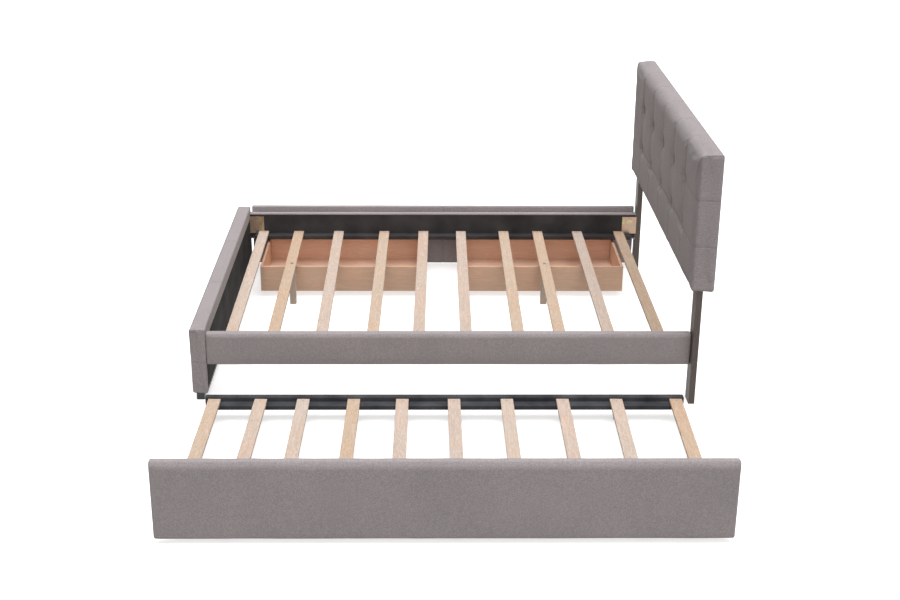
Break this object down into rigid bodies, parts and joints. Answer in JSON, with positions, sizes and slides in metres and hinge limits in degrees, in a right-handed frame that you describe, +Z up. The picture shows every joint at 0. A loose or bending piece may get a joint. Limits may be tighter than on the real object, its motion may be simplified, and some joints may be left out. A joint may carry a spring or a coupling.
{
  "type": "trundle bed",
  "caption": "Upholstered slatted bed frame with a padded headboard, a roll-out slatted trundle along one side and rolling storage drawers along the other.",
  "frame": {"origin": "on the floor, at the centre of the whole footprint with the trundle drawn out as at rest", "axes": "+X along the bed from the foot to the headboard, +Y across the bed from the trundle side to the drawer side, +Z up"},
  "size_m": [2.18, 2.8, 1.11],
  "materials": {
    "upholstery": "fine linen-look weave, warm mauve grey",
    "backing_cloth": "matt black nonwoven",
    "edge_cloth": "dark grey cloth stretched over wood",
    "plywood": "plain plywood",
    "birch": "bare pale birch",
    "beech_board": "matt beech-look board",
    "dark_wood": "dark brown stain",
    "foot_plastic": "black moulded",
    "wheel_plastic": "dark grey moulded",
    "bracket_steel": "yellow zinc plate",
    "bright_steel": "bright zinc plate"
  },
  "bodies": {
    "bed": {"footboard_core": "plywood", "footboard_cover": "upholstery", "footboard_backing": "backing_cloth", "footboard_feet": "foot_plastic", "near_rail_core": "plywood", "near_rail_cover": "upholstery", "near_rail_backing": "backing_cloth", "far_rail_core": "plywood", "far_rail_cover": "upholstery", "far_rail_backing": "backing_cloth", "near_ledge": "backing_cloth", "far_ledge": "backing_cloth", "corner_brackets": "bracket_steel", "bracket_screws": "bright_steel", "rail_bolts": "bright_steel", "near_post": "dark_wood", "far_post": "dark_wood", "headboard_panel": "plywood", "headboard_battens": "plywood", "headboard_pad": "upholstery", "headboard_back": "backing_cloth", "headboard_bolts": "bright_steel", "bed_slats": "birch", "left_leg": "birch", "right_leg": "birch", "leg_bolts": "bright_steel"},
    "trundle": {"trundle_front_core": "plywood", "trundle_front_cover": "upholstery", "trundle_front_backing": "backing_cloth", "trundle_front_ledge": "plywood", "trundle_back_ledge": "edge_cloth", "trundle_back_rail": "edge_cloth", "trundle_slats": "birch", "trundle_slat_screws": "bright_steel", "trundle_castors": "bright_steel"},
    "trundle_front_wheels": {"trundle_front_wheels": "wheel_plastic"},
    "trundle_back_wheels": {"trundle_back_wheels": "wheel_plastic"},
    "left_drawer": {"left_drawer_front_core": "plywood", "left_drawer_front_cover": "upholstery", "left_drawer_front_backing": "backing_cloth", "left_drawer_outer_side": "beech_board", "left_drawer_inner_side": "beech_board", "left_drawer_front_wall": "beech_board", "left_drawer_back_wall": "beech_board", "left_drawer_bottom": "beech_board", "left_drawer_castors": "bright_steel"},
    "left_drawer_front_wheels": {"left_drawer_front_wheels": "wheel_plastic"},
    "left_drawer_back_wheels": {"left_drawer_back_wheels": "wheel_plastic"},
    "right_drawer": {"right_drawer_front_core": "plywood", "right_drawer_front_cover": "upholstery", "right_drawer_front_backing": "backing_cloth", "right_drawer_outer_side": "beech_board", "right_drawer_inner_side": "beech_board", "right_drawer_front_wall": "beech_board", "right_drawer_back_wall": "beech_board", "right_drawer_bottom": "beech_board", "right_drawer_castors": "bright_steel"},
    "right_drawer_front_wheels": {"right_drawer_front_wheels": "wheel_plastic"},
    "right_drawer_back_wheels": {"right_drawer_back_wheels": "wheel_plastic"}
  },
  "joints": [
    {"name": "trundle_slide", "type": "slide", "parent": "bed", "child": "trundle", "axis": [-0.0284, -0.9996, 0], "range_m": [-1.0904, 0.3]},
    {"name": "trundle_front_wheel_spin", "type": "hinge", "parent": "trundle", "child": "trundle_front_wheels", "pos_m": [0, -1.344, 0.022], "axis": [1, 0, 0], "continuous": true},
    {"name": "trundle_back_wheel_spin", "type": "hinge", "parent": "trundle", "child": "trundle_back_wheels", "pos_m": [0, -0.453, 0.022], "axis": [1, 0, 0], "continuous": true},
    {"name": "left_drawer_slide", "type": "slide", "parent": "bed", "child": "left_drawer", "axis": [0, 1, 0], "range_m": [0, 0.4]},
    {"name": "left_drawer_front_wheel_spin", "type": "hinge", "parent": "left_drawer", "child": "left_drawer_front_wheels", "pos_m": [0, 1.297, 0.015], "axis": [1, 0, 0], "continuous": true},
    {"name": "left_drawer_back_wheel_spin", "type": "hinge", "parent": "left_drawer", "child": "left_drawer_back_wheels", "pos_m": [0, 1.008, 0.015], "axis": [1, 0, 0], "continuous": true},
    {"name": "right_drawer_slide", "type": "slide", "parent": "bed", "child": "right_drawer", "axis": [0, 1, 0], "range_m": [0, 0.4]},
    {"name": "right_drawer_front_wheel_spin", "type": "hinge", "parent": "right_drawer", "child": "right_drawer_front_wheels", "pos_m": [0, 1.297, 0.015], "axis": [1, 0, 0], "continuous": true},
    {"name": "right_drawer_back_wheel_spin", "type": "hinge", "parent": "right_drawer", "child": "right_drawer_back_wheels", "pos_m": [0, 1.008, 0.015], "axis": [1, 0, 0], "continuous": true}
  ],
  "couplings": [
    {"joint": "trundle_front_wheel_spin", "follows": "trundle_slide", "rad_per_m": 45.455},
    {"joint": "trundle_back_wheel_spin", "follows": "trundle_slide", "rad_per_m": 45.455},
    {"joint": "left_drawer_front_wheel_spin", "follows": "left_drawer_slide", "rad_per_m": -66.667},
    {"joint": "left_drawer_back_wheel_spin", "follows": "left_drawer_slide", "rad_per_m": -66.667},
    {"joint": "right_drawer_front_wheel_spin", "follows": "right_drawer_slide", "rad_per_m": -66.667},
    {"joint": "right_drawer_back_wheel_spin", "follows": "right_drawer_slide", "rad_per_m": -66.667}
  ]
}
